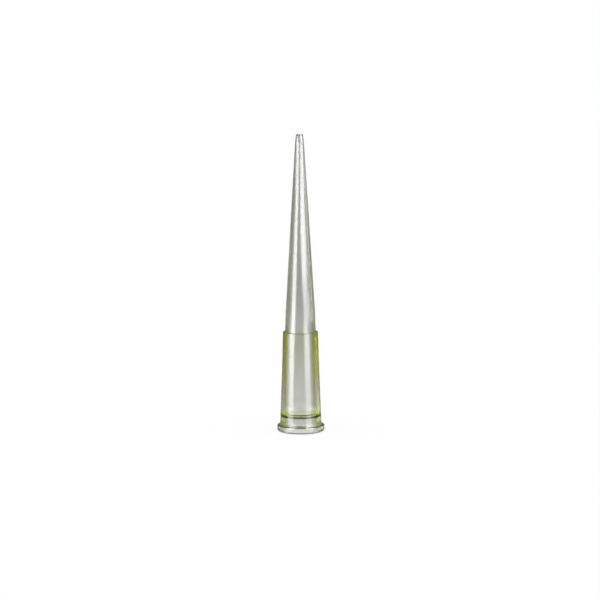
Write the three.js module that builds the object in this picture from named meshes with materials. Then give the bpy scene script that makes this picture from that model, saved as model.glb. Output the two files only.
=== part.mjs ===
// A pipette tip of the 200 microlitre size, moulded in one piece and hollow right through.
// It stands on the rim of its mouth with the point up. Millimetres, +Z up: the axis of the
// tip is Z, and the origin is the centre of the rim's face.
import * as THREE from "three";

// ---- Heights, measured up from the face of the rim ----
const OVERALL_LENGTH = 50;
const COLLAR_HEIGHT = 16.87; // to the ledge on which the tip hangs in a rack
const WAIST_HEIGHT = 12.5; // where the draft of the collar eases
const SHANK_HEIGHT = 3.65; // of the steeper foot of the cone, above the ledge
const BEVEL_HEIGHT = 1.3; // of the sharper taper at the point, below the end

// ---- Socket for the nozzle: a recess, a step and a long tapered seat ----
const SEAT_D = 5.31; // bore where the nozzle enters the seat
const SEAT_DRAFT = THREE.MathUtils.degToRad(1.9);
const RECESS_DEPTH = 2.7;
const RECESS_CLEARANCE = 0.26; // round the nozzle before it enters the seat
const STEP_HEIGHT = 0.42; // of the ramp between the recess and the seat
const SEAT_END_DROP = 0.55; // how far below the ledge the seat ends
const FUNNEL_HEIGHT = 2.4; // of the ramp from the seat to the bore of the cone

// ---- Collar and ledge ----
const COLLAR_WALL = 0.76;
const WAIST_RELIEF = 0.04; // how much thinner the wall of the collar is at the waist
const LEDGE_WIDTH = 0.38;

// ---- Rim ----
const FLANGE_WIDTH = 0.52; // how far the rim stands out from the foot of the collar
const FLANGE_HEIGHT = 1.07;
const FLANGE_FILLET_HEIGHT = 0.72;

// ---- Cone and point ----
const CONE_WALL = 0.8; // at the ledge
const SHANK_DRAFT = THREE.MathUtils.degToRad(2);
const BEVEL_D = 1.47; // outside, where the bevel starts
const ORIFICE_D = 0.5;
const END_WALL = 0.32; // at the orifice

// ---- Rounded edges: the radius of each ----
const RIM_FACE_ROUND = 0.32; // outer edge of the face it stands on
const RIM_TOP_ROUND = 0.2;
const MOUTH_ROUND = 0.15;
const LEDGE_ROUND = 0.08; // outer edge of the ledge
const LEDGE_FILLET = 0.05; // between the ledge and the cone
const STEP_ROUND = 0.12;
const END_ROUND = 0.06;

const ROUND_STEPS = 4; // straight steps in a quarter turn of the profile
const SEGMENTS = 64; // around the axis

// ---- Radii that follow from the sizes above ----
const seatR = SEAT_D / 2;
const recessR = seatR + RECESS_CLEARANCE;
const seatStart = RECESS_DEPTH + STEP_HEIGHT;
const seatEnd = COLLAR_HEIGHT - SEAT_END_DROP;
const seatRadius = (z) => seatR - (z - seatStart) * Math.tan(SEAT_DRAFT);

// The collar follows the draft of the seat, one wall further out.
const collarRadius = (z) => seatRadius(z) + COLLAR_WALL;

const flangeFilletTop = FLANGE_HEIGHT + FLANGE_FILLET_HEIGHT;
const collarFootR = collarRadius(flangeFilletTop);
const waistR = collarRadius(WAIST_HEIGHT) - WAIST_RELIEF;
const collarTopR = collarRadius(COLLAR_HEIGHT);
const rimR = collarFootR + FLANGE_WIDTH;
const flangeFilletWidth = FLANGE_WIDTH - RIM_TOP_ROUND;

const coneRootR = collarTopR - LEDGE_WIDTH;
const coneBoreR = coneRootR - CONE_WALL;
const shankTop = COLLAR_HEIGHT + SHANK_HEIGHT;
const shankTopR = coneRootR - SHANK_HEIGHT * Math.tan(SHANK_DRAFT);
const bevelStart = OVERALL_LENGTH - BEVEL_HEIGHT;
const orificeR = ORIFICE_D / 2;
const endR = orificeR + END_WALL;

// Points of a part of an ellipse about (r, z), between two angles given in quarter turns.
function arc(r, z, halfWidth, halfHeight, from, to) {
  const steps = Math.max(1, Math.round(Math.abs(to - from) * ROUND_STEPS));
  return Array.from({ length: steps + 1 }, (_, i) => {
    const angle = (from + ((to - from) * i) / steps) * (Math.PI / 2);
    const x = r + halfWidth * Math.cos(angle);
    const y = z + halfHeight * Math.sin(angle);
    return new THREE.Vector2(x, y);
  });
}

// A corner of the profile between two others, rounded off to a given radius.
function roundedCorner(before, corner, after, radius) {
  const toBefore = before.clone().sub(corner).normalize();
  const toAfter = after.clone().sub(corner).normalize();
  const halfAngle = Math.acos(toBefore.dot(toAfter)) / 2;
  const reach = radius / Math.tan(halfAngle);
  const start = corner.clone().addScaledVector(toBefore, reach);
  const end = corner.clone().addScaledVector(toAfter, reach);
  const curve = new THREE.QuadraticBezierCurve(start, corner, end);
  return curve.getPoints(ROUND_STEPS);
}

// The outside, from the face of the rim up to the end of the point.
const outside = [
  ...arc(rimR - RIM_FACE_ROUND, RIM_FACE_ROUND, RIM_FACE_ROUND, RIM_FACE_ROUND, -1, 0),
  ...arc(rimR - RIM_TOP_ROUND, FLANGE_HEIGHT - RIM_TOP_ROUND, RIM_TOP_ROUND, RIM_TOP_ROUND, 0, 1),
  ...arc(
    collarFootR + flangeFilletWidth,
    flangeFilletTop,
    flangeFilletWidth,
    FLANGE_FILLET_HEIGHT,
    -1,
    -2,
  ).slice(1),
  new THREE.Vector2(waistR, WAIST_HEIGHT),
  ...arc(collarTopR - LEDGE_ROUND, COLLAR_HEIGHT - LEDGE_ROUND, LEDGE_ROUND, LEDGE_ROUND, 0, 1),
  ...arc(coneRootR + LEDGE_FILLET, COLLAR_HEIGHT + LEDGE_FILLET, LEDGE_FILLET, LEDGE_FILLET, -1, -2),
  new THREE.Vector2(shankTopR, shankTop),
  new THREE.Vector2(BEVEL_D / 2, bevelStart),
  ...arc(endR - END_ROUND, OVERALL_LENGTH - END_ROUND, END_ROUND, END_ROUND, 0, 1),
];

// The bore, from the orifice down to the face of the rim.
const seatEndPoint = new THREE.Vector2(seatRadius(seatEnd), seatEnd);
const seatStartPoint = new THREE.Vector2(seatR, seatStart);
const recessTopPoint = new THREE.Vector2(recessR, RECESS_DEPTH);
const mouthPoint = new THREE.Vector2(recessR, MOUTH_ROUND);
const inside = [
  new THREE.Vector2(orificeR, OVERALL_LENGTH),
  new THREE.Vector2(coneBoreR, seatEnd + FUNNEL_HEIGHT),
  seatEndPoint,
  ...roundedCorner(seatEndPoint, seatStartPoint, recessTopPoint, STEP_ROUND),
  ...roundedCorner(seatStartPoint, recessTopPoint, mouthPoint, STEP_ROUND),
  ...arc(recessR + MOUTH_ROUND, MOUTH_ROUND, MOUTH_ROUND, MOUTH_ROUND, -2, -1),
];

const profile = [...outside, ...inside, outside[0].clone()];

const geometry = new THREE.LatheGeometry(profile, SEGMENTS);
geometry.rotateX(Math.PI / 2); // the lathe turns about Y

const material = new THREE.MeshStandardMaterial({
  color: 0xc3c7b4,
  roughness: 0.08,
  metalness: 0,
  transparent: true,
  opacity: 0.45,
});

const tip = new THREE.Mesh(geometry, material);
tip.name = "tip";

const part = new THREE.Group();
part.name = "pipette_tip";
part.add(tip);

export default part;
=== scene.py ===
# A clear pipette tip standing on its rim on a white table, in plain studio light.
# Metres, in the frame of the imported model: +Z up, the rim's face at z = 0.
import math

import bmesh
import bpy
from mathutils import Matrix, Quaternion, Vector


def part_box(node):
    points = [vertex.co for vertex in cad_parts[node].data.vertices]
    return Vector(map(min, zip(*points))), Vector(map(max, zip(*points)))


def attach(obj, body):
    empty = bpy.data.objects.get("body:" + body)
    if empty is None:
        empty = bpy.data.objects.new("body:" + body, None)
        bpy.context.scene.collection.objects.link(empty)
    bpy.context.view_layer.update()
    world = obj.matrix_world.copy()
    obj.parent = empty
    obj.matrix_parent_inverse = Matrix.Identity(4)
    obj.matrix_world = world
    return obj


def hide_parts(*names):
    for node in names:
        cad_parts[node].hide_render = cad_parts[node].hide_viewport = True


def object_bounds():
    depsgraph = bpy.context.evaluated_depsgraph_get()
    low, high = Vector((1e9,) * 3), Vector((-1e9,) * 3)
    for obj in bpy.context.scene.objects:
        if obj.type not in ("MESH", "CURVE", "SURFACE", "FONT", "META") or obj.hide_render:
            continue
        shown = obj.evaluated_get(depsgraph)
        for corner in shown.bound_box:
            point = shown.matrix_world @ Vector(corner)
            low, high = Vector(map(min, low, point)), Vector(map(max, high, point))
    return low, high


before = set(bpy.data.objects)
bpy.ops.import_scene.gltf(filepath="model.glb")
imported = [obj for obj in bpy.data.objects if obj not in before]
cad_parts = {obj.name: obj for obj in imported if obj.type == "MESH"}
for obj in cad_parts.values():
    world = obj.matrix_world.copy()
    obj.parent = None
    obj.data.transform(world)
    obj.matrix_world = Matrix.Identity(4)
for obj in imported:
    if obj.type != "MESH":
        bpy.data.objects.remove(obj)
cad_low, cad_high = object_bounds()

MM = 0.001
NODE = "tip"
tip_low, tip_high = (Vector(corner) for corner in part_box(NODE))
LENGTH = tip_high.z - tip_low.z
AXIS = Vector(((tip_low.x + tip_high.x) / 2, (tip_low.y + tip_high.y) / 2, 0))

# ---- The tip's surface ----
AROUND = 256  # flats round the axis
ALONG = 0.6 * MM  # longest step along a straight run of the section
LOOP = 0.03 * MM  # a ring this far from each end of a run keeps its shading straight
ARC_STEPS = 4  # finer steps in each step of a rounded edge
SHARP = math.radians(40)  # a corner that turns more than this stays sharp
LONG = 2.5  # a run this many times its neighbour's length is straight, not part of an arc


def half_section(node):
    """The corners of a round node's half section, in order round its outline."""
    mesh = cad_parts[node].data
    near = 1e-7

    def corner(index):
        co = mesh.vertices[index].co - AXIS
        on_plane = abs(co.y) < near and co.x > 0
        return (round(co.x / near), round(co.z / near)) if on_plane else None

    joined = {}
    for edge in mesh.edges:
        a, b = map(corner, edge.vertices)
        if a and b and a != b:
            joined.setdefault(a, set()).add(b)
            joined.setdefault(b, set()).add(a)
    start = max(joined)  # on the rim, where the tip is widest
    walk = [start, max(joined[start], key=lambda c: c[1])]
    while walk[-1] != start:
        walk.append(next(c for c in joined[walk[-1]] if c != walk[-2]))
    return [Vector((r * near, z * near)) for r, z in walk[:-1]]


def finer(section):
    """The section with its rounded edges made smooth and its straight runs cut up."""
    count = len(section)
    runs = [section[(i + 1) % count] - p for i, p in enumerate(section)]
    smooth = []
    for i, run in enumerate(runs):
        before, after = runs[i - 1], runs[(i + 1) % count]
        straight = run.length > LONG * min(before.length, after.length)
        ends = []
        for other in (before, after):
            turn = run.angle(other)
            if straight or turn > SHARP:
                ends.append(run.normalized())
            elif other.length > LONG * run.length:
                ends.append(other.normalized())
            else:
                ends.append((run.normalized() + other.normalized()).normalized())
        smooth.append((straight, ends))
    points = []
    for i, (run, (straight, (leave, arrive))) in enumerate(zip(runs, smooth)):
        start, length = section[i], run.length
        if straight or length > 4 * LOOP * ARC_STEPS:
            steps = max(2, math.ceil(length / ALONG))
            shares = [s / steps for s in range(steps)]
            if length > 4 * LOOP:
                shares[1:1] = [LOOP / length]
                shares.append(1 - LOOP / length)
            points += [start + run * s for s in shares]
            continue
        for s in (k / ARC_STEPS for k in range(ARC_STEPS)):
            h1 = s**3 - 2 * s**2 + s
            h2 = s**3 - s**2
            along = s * s * (3 - 2 * s)
            points.append(start + run * along + (leave * h1 + arrive * h2) * length)
    return points


def lathe(name, section, marks):
    """A closed mesh: the section turned round the axis, with a vertex value for each mark."""
    bm = bmesh.new()
    layers = {mark: bm.verts.layers.float.new(mark) for mark in marks}
    rings = []
    for i, p in enumerate(section):
        ring = []
        for k in range(AROUND):
            turn = 2 * math.pi * k / AROUND
            spoke = Vector((math.cos(turn), math.sin(turn), 0))
            vert = bm.verts.new(AXIS + spoke * p.x + Vector((0, 0, p.y)))
            for mark, values in marks.items():
                vert[layers[mark]] = values[i]
            ring.append(vert)
        rings.append(ring)
    for i, ring in enumerate(rings):
        above = rings[(i + 1) % len(rings)]
        for k in range(AROUND):
            n = (k + 1) % AROUND
            face = bm.faces.new((ring[k], ring[n], above[n], above[k]))
            face.smooth = True
    bmesh.ops.recalc_face_normals(bm, faces=bm.faces)
    mesh = bpy.data.meshes.new(name)
    bm.to_mesh(mesh)
    bm.free()
    mesh.set_sharp_from_angle(angle=SHARP)
    piece = bpy.data.objects.new(name, mesh)
    bpy.context.scene.collection.objects.link(piece)
    return piece


SAME = LOOP / 9  # heights closer than this are one height
outline = finer(half_section(NODE))
end_face = max(i for i, p in enumerate(outline) if p.y > tip_high.z - SAME)
rim_face = min(i for i, p in enumerate(outline) if i > end_face and p.y < tip_low.z + SAME)
bore = [float(end_face <= i <= rim_face) for i in range(len(outline))]

# The heights that the tints follow: the ledge, and the foot and top of the socket's step.
# The step is all that slants between the flange and the middle of the collar.
OVER_FLANGE = 2 * MM
runs = list(zip(outline, outline[1:]))
LEDGE = max(p.y for p, q in runs if abs(p.y - q.y) < SAME and p.y < tip_high.z - MM)
slanted = [(p.y + q.y) / 2 for p, q in runs if abs(p.x - q.x) > abs(p.y - q.y) / 4]
STEP_FOOT = min(z for z in slanted if LEDGE / 2 > z > OVER_FLANGE)
STEP_TOP = max(z for z in slanted if LEDGE / 2 > z > OVER_FLANGE)
tip = lathe("moulded_tip", outline, {"bore": bore})


# ---- Shader nodes ----
class Nodes:
    """Short ways to add nodes to a tree."""

    def __init__(self, owner):
        owner.use_nodes = True
        self.tree = owner.node_tree
        self.tree.nodes.clear()

    def add(self, kind, inputs=(), **settings):
        node = self.tree.nodes.new(kind)
        for name, value in settings.items():
            setattr(node, name, value)
        for name, value in dict(inputs).items():
            if isinstance(value, bpy.types.NodeSocket):
                self.tree.links.new(value, node.inputs[name])
            else:
                node.inputs[name].default_value = value
        return node

    def maths(self, operation, a, b=0.0):
        return self.add("ShaderNodeMath", {0: a, 1: b}, operation=operation).outputs[0]

    def ramp(self, value, start, end, low=0.0, high=1.0, kind="SMOOTHSTEP"):
        inputs = {0: value, 1: start, 2: end, 3: low, 4: high}
        return self.add("ShaderNodeMapRange", inputs, interpolation_type=kind).outputs[0]

    def blend(self, share, a, b):
        return self.add("ShaderNodeMix", {0: share, 6: a, 7: b}, data_type="RGBA").outputs[2]

    def stops(self, value, stops):
        """The colour at a value, from a list of values and the colour at each."""
        start, end = stops[0][0], stops[-1][0]
        share = self.ramp(value, start, end, kind="LINEAR")
        node = self.add("ShaderNodeValToRGB", {0: share})
        elements = node.color_ramp.elements
        elements.remove(elements[1])
        for i, (at, colour) in enumerate(stops):
            element = elements.new((at - start) / (end - start)) if i else elements[0]
            element.color = (*colour, 1)
        return node.outputs[0]

    def through(self, value, stops):
        """The number at a value, on straight lines through a list of values and numbers."""
        result = stops[0][1]
        for (start, low), (end, high) in zip(stops, stops[1:]):
            rise = self.ramp(value, start, end, 0.0, high - low, kind="LINEAR")
            result = self.maths("ADD", result, rise)
        return result

    def shaders(self, share, a, b):
        return self.add("ShaderNodeMixShader", {0: share, 1: a, 2: b}).outputs[0]


# ---- Clear plastic ----
INDEX = 1.49  # of refraction, of polypropylene
OUTSIDE_ROUGHNESS = 0.08
FILLET_ROUGHNESS = 0.35  # of the fillet above the flange, which is less glossy
BORE_ROUGHNESS = 0.40
GRAIN = 0.25 * MM
GRAIN_ROUGHNESS = 0.02  # how far the grain moves the roughness either way
FLOW = 1.5 * MM  # across the flow lines of the moulding
FLOW_STRETCH = (1, 1, 0.12)  # they are long along the axis
FLOW_SHADE = 0.06  # how much darker the darkest flow line is
FLOW_RELIEF = {"Strength": 0.05, "Distance": 0.02 * MM}
NOISE_RANGE = (0.3, 0.7)  # nearly all of a noise lies between these

# How far a surface is turned from the eye, from 0 to 1, where its tint starts to deepen and
# where it is full. Thick clear plastic is deepest in colour where it is seen edge on; these
# edge tints are also painted shade, for the dark edges that refraction gives.
CONE_TURN = (0.20, 0.36)
COLLAR_TURN = (0.12, 0.31)
STEP_TURN = (0.19, 0.28)
SHOULDER_TURN = (0.5, 0.7)

# Each list below is heights and the colour at each: tint with painted shade and highlights.
FOOT = (5 * MM, 5.5 * MM)  # over this height the tint of the foot becomes the collar's
# Painted shade and highlight: near-black lines at the flange's top and round the step, a yellow
# highlight painted just above the step, and a dark band at the rim's foot.
FOOT_EDGE_TINT_SHADE_AND_HIGHLIGHT = [
    (0.0 * MM, (0.20, 0.20, 0.17)),
    (0.16 * MM, (0.20, 0.20, 0.17)),
    (0.26 * MM, (0.66, 0.68, 0.56)),
    (0.84 * MM, (0.66, 0.68, 0.56)),
    (0.93 * MM, (0.45, 0.50, 0.25)),
    (0.98 * MM, (0.03, 0.04, 0.008)),
    (1.1 * MM, (0.03, 0.04, 0.008)),
    (1.16 * MM, (0.15, 0.19, 0.004)),
    (1.33 * MM, (0.15, 0.19, 0.004)),
    (1.45 * MM, (0.40, 0.44, 0.10)),
    (1.9 * MM, (0.58, 0.64, 0.25)),
    (STEP_FOOT - 0.28 * MM, (0.58, 0.66, 0.24)),
    (STEP_FOOT - 0.14 * MM, (0.03, 0.055, 0.0)),
    (STEP_TOP - 0.26 * MM, (0.03, 0.055, 0.0)),
    (STEP_TOP - 0.14 * MM, (0.80, 0.98, 0.04)),
    (STEP_TOP + 0.12 * MM, (0.80, 0.96, 0.06)),
    (STEP_TOP + 0.4 * MM, (0.40, 0.43, 0.18)),
    (4.4 * MM, (0.37, 0.39, 0.21)),
    (5.5 * MM, (0.33, 0.34, 0.18)),
]
# Painted shade at the edges: the collar's edge tint darkens and turns yellow-green towards the
# ledge, and the cone's darkens towards the top.
COLLAR_EDGE_TINT_AND_SHADE = [
    (5.0 * MM, (0.34, 0.35, 0.19)),
    (6.6 * MM, (0.275, 0.28, 0.125)),
    (10.3 * MM, (0.21, 0.225, 0.025)),
    (13.6 * MM, (0.165, 0.195, 0.0045)),
    (LEDGE, (0.135, 0.178, 0.001)),
]
CONE_EDGE_TINT_AND_SHADE = [
    (LEDGE, (0.215, 0.222, 0.125)),
    (19 * MM, (0.205, 0.212, 0.13)),
    (22 * MM, (0.20, 0.207, 0.135)),
    (27 * MM, (0.205, 0.212, 0.135)),
    (37 * MM, (0.155, 0.16, 0.115)),
    (48 * MM, (0.085, 0.088, 0.07)),
]

# Where the wall faces the eye, thin dark lines of painted shade mark the top of the flange, the
# rim's foot and the end face; the cone is painted lighter near the ledge and near the end.
COLLAR_FRONT_TINT_AND_SHADE = [
    (0.0 * MM, (0.12, 0.12, 0.115)),
    (0.22 * MM, (0.12, 0.12, 0.115)),
    (0.34 * MM, (0.62, 0.63, 0.56)),
    (0.90 * MM, (0.63, 0.64, 0.56)),
    (0.97 * MM, (0.015, 0.02, 0.006)),
    (1.33 * MM, (0.015, 0.02, 0.006)),
    (1.43 * MM, (0.50, 0.49, 0.40)),
    (1.65 * MM, (0.70, 0.69, 0.62)),
    (1.9 * MM, (0.95, 0.95, 0.94)),
]
CONE_FRONT_TINT_AND_PAINTED_LIGHT = [
    (LEDGE, (0.74, 0.75, 0.72)),
    (19 * MM, (0.74, 0.75, 0.72)),
    (22 * MM, (0.60, 0.61, 0.575)),
    (27 * MM, (0.59, 0.60, 0.565)),
    (33 * MM, (0.55, 0.56, 0.525)),
    (38 * MM, (0.56, 0.57, 0.54)),
    (47.5 * MM, (0.72, 0.73, 0.69)),
    (LENGTH - 0.28 * MM, (0.72, 0.73, 0.69)),
    (LENGTH - 0.20 * MM, (0.10, 0.10, 0.09)),
    (LENGTH - 0.08 * MM, (0.10, 0.10, 0.09)),
    (LENGTH, (0.75, 0.75, 0.72)),
]
# Painted shade: a dark line on the ledge's upward face.
LEDGE_PAINTED_SHADE = (0.10, 0.11, 0.05, 1)
SHOULDER = (0.9 * MM, 1.0 * MM, 1.35 * MM, 1.45 * MM)  # comes in, full, still full, gone
# Painted light: olive where the flange's dark top line is seen edge on.
SHOULDER_PAINTED_LIGHT = (0.36, 0.40, 0.07, 1)

# The step inside the socket is painted as a dark ring of shade with a clear line round its
# middle; where it is seen edge on, a yellow-green highlight is painted above it.
STEP_FRONT_PAINTED_SHADE = [
    (STEP_FOOT - 0.3 * MM, (0.84, 0.84, 0.82)),
    (STEP_FOOT - 0.2 * MM, (0.015, 0.025, 0.001)),
    (STEP_FOOT + 0.11 * MM, (0.015, 0.025, 0.001)),
    (STEP_FOOT + 0.17 * MM, (0.60, 0.68, 0.23)),
    (STEP_FOOT + 0.22 * MM, (0.60, 0.68, 0.23)),
    (STEP_TOP - 0.18 * MM, (0.015, 0.025, 0.001)),
    (STEP_TOP, (0.015, 0.025, 0.001)),
    (STEP_TOP + 0.06 * MM, (0.76, 0.80, 0.52)),
    (STEP_TOP + 0.15 * MM, (0.80, 0.84, 0.58)),
    (STEP_TOP + 0.3 * MM, (1.0, 1.0, 0.96)),
]
STEP_SIDE_PAINTED_SHADE_AND_HIGHLIGHT = [
    (STEP_FOOT - 0.3 * MM, (0.84, 0.84, 0.82)),
    (STEP_FOOT - 0.2 * MM, (0.015, 0.025, 0.001)),
    (STEP_FOOT + 0.18 * MM, (0.015, 0.025, 0.001)),
    (STEP_FOOT + 0.26 * MM, (0.80, 0.95, 0.25)),
    (STEP_TOP + 0.06 * MM, (0.86, 1.0, 0.35)),
    (STEP_TOP + 0.3 * MM, (0.90, 0.90, 0.90)),
]
SEAT_START = (3.5 * MM, 3.6 * MM)  # over this height the tint of the step becomes the seat's
# Painted light: the seat is lighter towards the bottom, as the floor lights it, and white just
# above the step.
SEAT_PAINTED_LIGHT = [
    (3.5 * MM, (1.0, 1.0, 1.0)),
    (3.98 * MM, (1.0, 1.0, 1.0)),
    (4.15 * MM, (0.77, 0.77, 0.92)),
    (4.35 * MM, (0.56, 0.56, 0.60)),
    (4.75 * MM, (0.46, 0.46, 0.41)),
    (5.1 * MM, (0.53, 0.53, 0.48)),
    (5.6 * MM, (0.61, 0.61, 0.58)),
    (7.0 * MM, (0.58, 0.58, 0.54)),
    (14.5 * MM, (0.43, 0.44, 0.355)),
    (LEDGE, (0.425, 0.43, 0.345)),
]
CONE_BORE_TINT = (0.62, 0.62, 0.61, 1)


def outside_tint_and_painted_light(n, height, upward, turned, collar):
    """The tint of the outer surface, with painted shade and highlights, by height and by how far
    it is turned from the eye.
    """
    comes, full, still_full, gone = SHOULDER
    # Painted light: olive over the flange's top line where it is seen edge on.
    painted_shoulder = n.maths("MULTIPLY", n.ramp(height, comes, full), n.ramp(height, gone, still_full))
    painted_shoulder = n.maths("MULTIPLY", n.ramp(turned, *SHOULDER_TURN), painted_shoulder)
    foot_edge_painted = n.blend(painted_shoulder, n.stops(height, FOOT_EDGE_TINT_SHADE_AND_HIGHLIGHT), SHOULDER_PAINTED_LIGHT)
    above_foot = n.blend(collar, n.stops(height, CONE_EDGE_TINT_AND_SHADE), n.stops(height, COLLAR_EDGE_TINT_AND_SHADE))
    edge = n.blend(below(n, height, FOOT), above_foot, foot_edge_painted)

    front = n.blend(collar, n.stops(height, CONE_FRONT_TINT_AND_PAINTED_LIGHT), n.stops(height, COLLAR_FRONT_TINT_AND_SHADE))
    # Painted shade: darkens the ledge's upward face.
    near_ledge = n.ramp(height, LEDGE - MM, LEDGE - MM / 2)
    ledge = n.maths("MULTIPLY", n.ramp(upward, 0.3, 0.8), near_ledge)
    front = n.blend(ledge, front, LEDGE_PAINTED_SHADE)

    # Painted shade: the edge tints take over where the wall is turned from the eye.
    edge_on = n.blend(collar, n.ramp(turned, *CONE_TURN), n.ramp(turned, *COLLAR_TURN))
    return n.blend(edge_on, front, edge)


def bore_tint_and_painted_light(n, height, turned, collar):
    """The tint of the bore's surface: a step painted as a dark ring of shade, then the seat,
    painted lighter towards the bottom, then the bore of the cone.
    """
    step_front_painted = n.stops(height, STEP_FRONT_PAINTED_SHADE)
    step_side_painted = n.stops(height, STEP_SIDE_PAINTED_SHADE_AND_HIGHLIGHT)
    step = n.blend(n.ramp(turned, *STEP_TURN), step_front_painted, step_side_painted)
    seat = n.blend(below(n, height, SEAT_START), n.stops(height, SEAT_PAINTED_LIGHT), step)
    return n.blend(collar, CONE_BORE_TINT, seat)


def below(n, height, heights):
    """1 under the lower of two heights, 0 over the upper."""
    lower, upper = heights
    return n.ramp(height, upper, lower)


def clear_plastic():
    """Clear moulded plastic with faint flow lines along the axis and a fine grain, and with
    painted shade and highlights in its tints.
    """
    mat = bpy.data.materials.new("clear_plastic")
    n = Nodes(mat)
    place = n.add("ShaderNodeTexCoord").outputs
    height = n.add("ShaderNodeSeparateXYZ", {0: place["Object"]}).outputs["Z"]
    upward = n.add("ShaderNodeSeparateXYZ", {0: place["Normal"]}).outputs["Z"]
    inside = n.add("ShaderNodeAttribute", attribute_name="bore").outputs["Fac"]
    turned = n.add("ShaderNodeLayerWeight", {"Blend": 0.5}).outputs["Facing"]
    collar = below(n, height, (LEDGE - 0.05 * MM, LEDGE + 0.05 * MM))

    stretched = {"Vector": place["Object"], "Scale": FLOW_STRETCH}
    along_axis = n.add("ShaderNodeMapping", stretched).outputs[0]
    flow_noise = {"Vector": along_axis, "Scale": 1 / FLOW, "Detail": 1.0}
    flow = n.add("ShaderNodeTexNoise", flow_noise).outputs["Fac"]
    grain_noise = {"Vector": place["Object"], "Scale": 1 / GRAIN, "Detail": 2.0}
    grain = n.add("ShaderNodeTexNoise", grain_noise).outputs["Fac"]

    outside = outside_tint_and_painted_light(n, height, upward, turned, collar)
    colour = n.blend(inside, outside, bore_tint_and_painted_light(n, height, turned, collar))
    colour = n.blend(n.ramp(flow, *NOISE_RANGE, 0.0, FLOW_SHADE), colour, (0, 0, 0, 1))

    over_flange = n.ramp(height, 1.05 * MM, 1.2 * MM)
    foot = below(n, height, FOOT)
    fillet = n.maths("MULTIPLY", n.ramp(upward, 0.0, 0.15), n.maths("MULTIPLY", over_flange, foot))
    walls = n.ramp(inside, 0, 1, OUTSIDE_ROUGHNESS, BORE_ROUGHNESS)
    roughness = n.maths("MAXIMUM", walls, n.ramp(fillet, 0, 1, 0, FILLET_ROUGHNESS))
    uneven = n.ramp(grain, *NOISE_RANGE, -GRAIN_ROUGHNESS, GRAIN_ROUGHNESS)
    roughness = n.maths("ADD", roughness, uneven)
    relief = n.add("ShaderNodeBump", {"Height": flow, **FLOW_RELIEF}).outputs[0]

    glass = n.add(
        "ShaderNodeBsdfPrincipled",
        {
            "Base Color": colour,
            "Transmission Weight": 1.0,
            "IOR": INDEX,
            "Roughness": roughness,
            "Normal": relief,
        },
    )
    n.add("ShaderNodeOutputMaterial", {"Surface": glass.outputs[0]})
    return mat


tip.data.materials.append(clear_plastic())
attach(tip, "root")
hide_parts(NODE)

# ---- Studio ----
WHITE = (1, 1, 1, 1)
GLOSS_SHARE = 0.2  # of the white that a reflection sees, so that clear edges stay dark
TABLE_RADIUS = 1.0
TABLE_GAP = 0.01 * MM  # under the rim, so that the two flat faces don't meet
TABLE_MATT = (0.8, 0.8, 0.8, 1)
TABLE_GLOW = 1.07  # with what the matt share reflects, this brings the table to white
TABLE_GLOW_SHARE = 0.75


def seen(n):
    """1 where the camera or a refraction looks, less for a reflection, 0 for other light."""
    path = n.add("ShaderNodeLightPath").outputs
    reflected = n.maths("MULTIPLY", path["Is Glossy Ray"], GLOSS_SHARE)
    straight = n.maths("MAXIMUM", path["Is Camera Ray"], path["Is Transmission Ray"])
    return n.maths("MAXIMUM", reflected, straight)


bm = bmesh.new()
bmesh.ops.create_circle(bm, cap_ends=True, radius=TABLE_RADIUS, segments=96)
table_mesh = bpy.data.meshes.new("table")
bm.to_mesh(table_mesh)
bm.free()
table = bpy.data.objects.new("table", table_mesh)
table.location.z = cad_low.z - TABLE_GAP
table.visible_glossy = False
table.visible_transmission = False
table.visible_shadow = False
bpy.context.scene.collection.objects.link(table)
white_table = bpy.data.materials.new("white_table")
n = Nodes(white_table)
matt = n.add("ShaderNodeBsdfDiffuse", {"Color": TABLE_MATT}).outputs[0]
glow = n.add("ShaderNodeEmission", {"Color": WHITE, "Strength": TABLE_GLOW}).outputs[0]
surface = n.shaders(n.maths("MULTIPLY", seen(n), TABLE_GLOW_SHARE), matt, glow)
n.add("ShaderNodeOutputMaterial", {"Surface": surface})
table_mesh.materials.append(white_table)

studio = bpy.data.worlds.new("studio")
bpy.context.scene.world = studio
n = Nodes(studio)
path = n.add("ShaderNodeLightPath").outputs
dimmed = n.maths("MULTIPLY", path["Is Glossy Ray"], 1 - GLOSS_SHARE)
direct = n.maths("SUBTRACT", 1.0, dimmed)
strength = n.maths("MAXIMUM", direct, path["Is Transmission Ray"])
white = n.add("ShaderNodeBackground", {"Color": WHITE, "Strength": strength}).outputs[0]
n.add("ShaderNodeOutputWorld", {"Surface": white})


SOFTBOX_DISTANCE = 150 * MM


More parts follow.
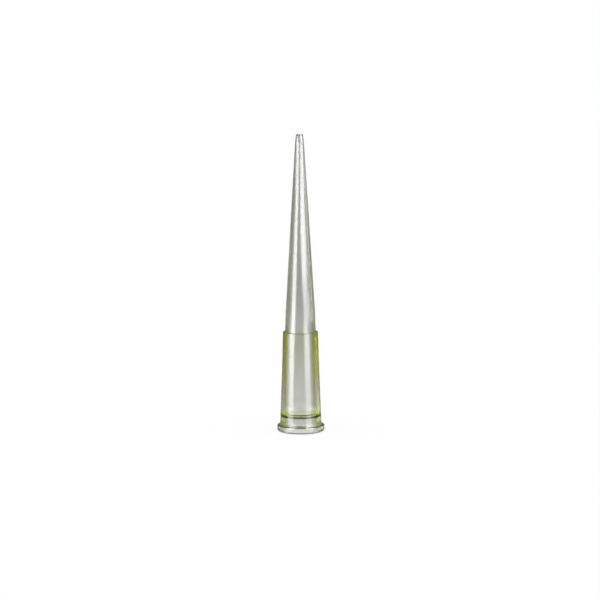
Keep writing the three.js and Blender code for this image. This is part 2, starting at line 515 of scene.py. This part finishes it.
def softbox(name, stops, behind=False):
    """A soft light that faces the tip and shows in its gloss alone, or through it alone.

    Each stop is a height in millimetres, four azimuths in degrees, with 0 at the camera's
    side, and a strength. At that height the light rises to its strength between the first
    two azimuths and falls to nothing between the last two. Where the fall starts before the
    rise ends, it peaks between them.
    """
    azimuths = [azimuth for stop in stops for azimuth in stop[1:5]]
    first, last = min(azimuths), max(azimuths)
    bottom, top = stops[0][0] * MM, stops[-1][0] * MM
    middle = math.radians((first + last) / 2)
    wide = 2 * SOFTBOX_DISTANCE * math.tan(math.radians(last - first) / 2)
    tall = top - bottom

    light = bpy.data.lights.new(name, "AREA")
    light.shape = "RECTANGLE"
    light.size, light.size_y = wide, tall
    light.energy = math.pi * wide * tall
    n = Nodes(light)
    place = n.add("ShaderNodeNewGeometry").outputs["Position"]
    x, y, z = n.add("ShaderNodeSeparateXYZ", {0: place}).outputs
    azimuth = n.maths("ARCTAN2", x, n.maths("MULTIPLY", y, -1.0))
    azimuth = n.maths("MULTIPLY", azimuth, math.degrees(1))
    begins, full, fades, ends, strength = (
        n.through(z, [(stop[0] * MM, stop[k]) for stop in stops]) for k in range(1, 6)
    )
    spread = n.maths("MULTIPLY", n.ramp(azimuth, begins, full), n.ramp(azimuth, ends, fades))
    strength = n.maths("MULTIPLY", strength, spread)
    glow = n.add("ShaderNodeEmission", {"Color": WHITE, "Strength": strength})
    n.add("ShaderNodeOutputLight", {0: glow.outputs[0]})

    lamp = bpy.data.objects.new(name, light)
    out = Vector((math.sin(middle), -math.cos(middle), 0))
    lamp.location = out * SOFTBOX_DISTANCE + Vector((0, 0, (bottom + top) / 2))
    lamp.rotation_euler = out.to_track_quat("Z", "Y").to_euler()
    lamp.visible_camera = False
    lamp.visible_diffuse = False
    lamp.visible_glossy = not behind
    lamp.visible_transmission = behind
    bpy.context.scene.collection.objects.link(lamp)
    return lamp


softbox(
    "softbox_left",
    [
        (-30, -85, -69, -49, -33, 5),
        (-21, -85, -69, -49, -33, 6),
        (-18, -94, -61, -53, -36, 7.2),
        (-15.5, -108, -53, -53, -37, 7.6),
        (-12.7, -118, -54, -53, -35, 8.4),
        (-7, -115, -50, -55, -36, 10.8),
        (-1.5, -110, -47, -47, -30, 17.5),
        (1.5, -106, -48, -51, -36, 16.5),
        (4.5, -82, -60, -51, -36, 16),
        (7.5, -78, -62, -48, -30, 16),
        (18, -78, -63, -50, -28, 15),
        (25, -77, -62, -42, -27, 15),
        (34, -73, -57, -38, -21, 15),
        (41, -68, -51, -44, -12, 16.8),
        (48, -74, -52, -27, -8, 14.2),
        (54, -88, -43, -24, -10, 11.7),
        (66, -80, -40, -30, -15, 13.5),
        (86, -86, -74, -54, -44, 18),
        (130, -88, -74, -54, -42, 36),
        (400, -88, -74, -54, -42, 36),
    ],
)
softbox(
    "softbox_right",
    [
        (-30, 20, 36, 52, 68, 2),
        (-21, 20, 36, 52, 68, 3),
        (-15.5, 24, 40, 54, 70, 4.2),
        (-12.7, 22, 38, 57, 66, 5),
        (-7, 19, 35, 53, 66, 6.5),
        (-3, 17, 33, 54, 70, 10.4),
        (2, 15, 33, 45, 62, 10.2),
        (5, 16, 34, 46, 64, 10),
        (7.5, 20, 38, 66, 82, 7.8),
        (15, 20, 38, 64, 82, 7.8),
        (18, 20, 35, 54, 70, 8.3),
        (25, 4, 32, 53, 77, 14),
        (34, 3, 18, 55, 79, 15.6),
        (41, -3, 13, 51, 78, 15.6),
        (48, 1, 18, 56, 86, 15),
        (54, 7, 22, 41, 97, 11.8),
        (66, 10, 25, 38, 90, 13.5),
        (86, 28, 46, 74, 88, 18),
        (130, 28, 46, 74, 88, 36),
        (400, 28, 46, 74, 88, 36),
    ],
)
softbox(
    "softbox_edge",
    [
        (23, 80, 95, 105, 140, 0),
        (30, 80, 95, 105, 140, 2.4),
        (34, 82, 98, 108, 146, 3.0),
        (41, 88, 102, 112, 146, 3.0),
        (48, 92, 104, 116, 146, 1.4),
        (54, 92, 104, 116, 146, 1.4),
        (60, 92, 104, 116, 146, 3.5),
        (80, 92, 104, 116, 146, 3.5),
    ],
)
softbox(
    "softbox_behind",
    [
        (-60, 138, 154, 150, 166, 0),
        (-17, 128, 144, 140, 156, 0),
        (-12, 128, 144, 140, 156, 6),
        (-6, 128, 144, 140, 156, 31),
        (-2, 130, 146, 142, 158, 4),
        (2, 132, 148, 144, 160, 0),
        (20, 134, 150, 145, 161, 0),
    ],
    behind=True,
)

# ---- Camera ----
CAMERA_DISTANCE = 7 * LENGTH
CAMERA_HEIGHT = 1.4 * LENGTH
ROLL = math.radians(0.28)  # the tip leans a little in the picture
AIM = Vector((-0.045 * MM, 0, 0.4446 * LENGTH))
LENS = 126.3  # millimetres, on a sensor of this width
SENSOR_WIDTH = 36
camera_data = bpy.data.cameras.new("camera")
camera_data.lens = LENS
camera_data.sensor_width = SENSOR_WIDTH
camera_data.clip_start = 0.01
camera_data.clip_end = 20
camera = bpy.data.objects.new("camera", camera_data)
camera.location = (0, -CAMERA_DISTANCE, CAMERA_HEIGHT)
level = (AIM - camera.location).to_track_quat("-Z", "Y")
camera.rotation_euler = (level @ Quaternion((0, 0, 1), -ROLL)).to_euler()
bpy.context.scene.collection.objects.link(camera)
bpy.context.scene.camera = camera
bpy.context.scene.view_settings.view_transform = "Standard"
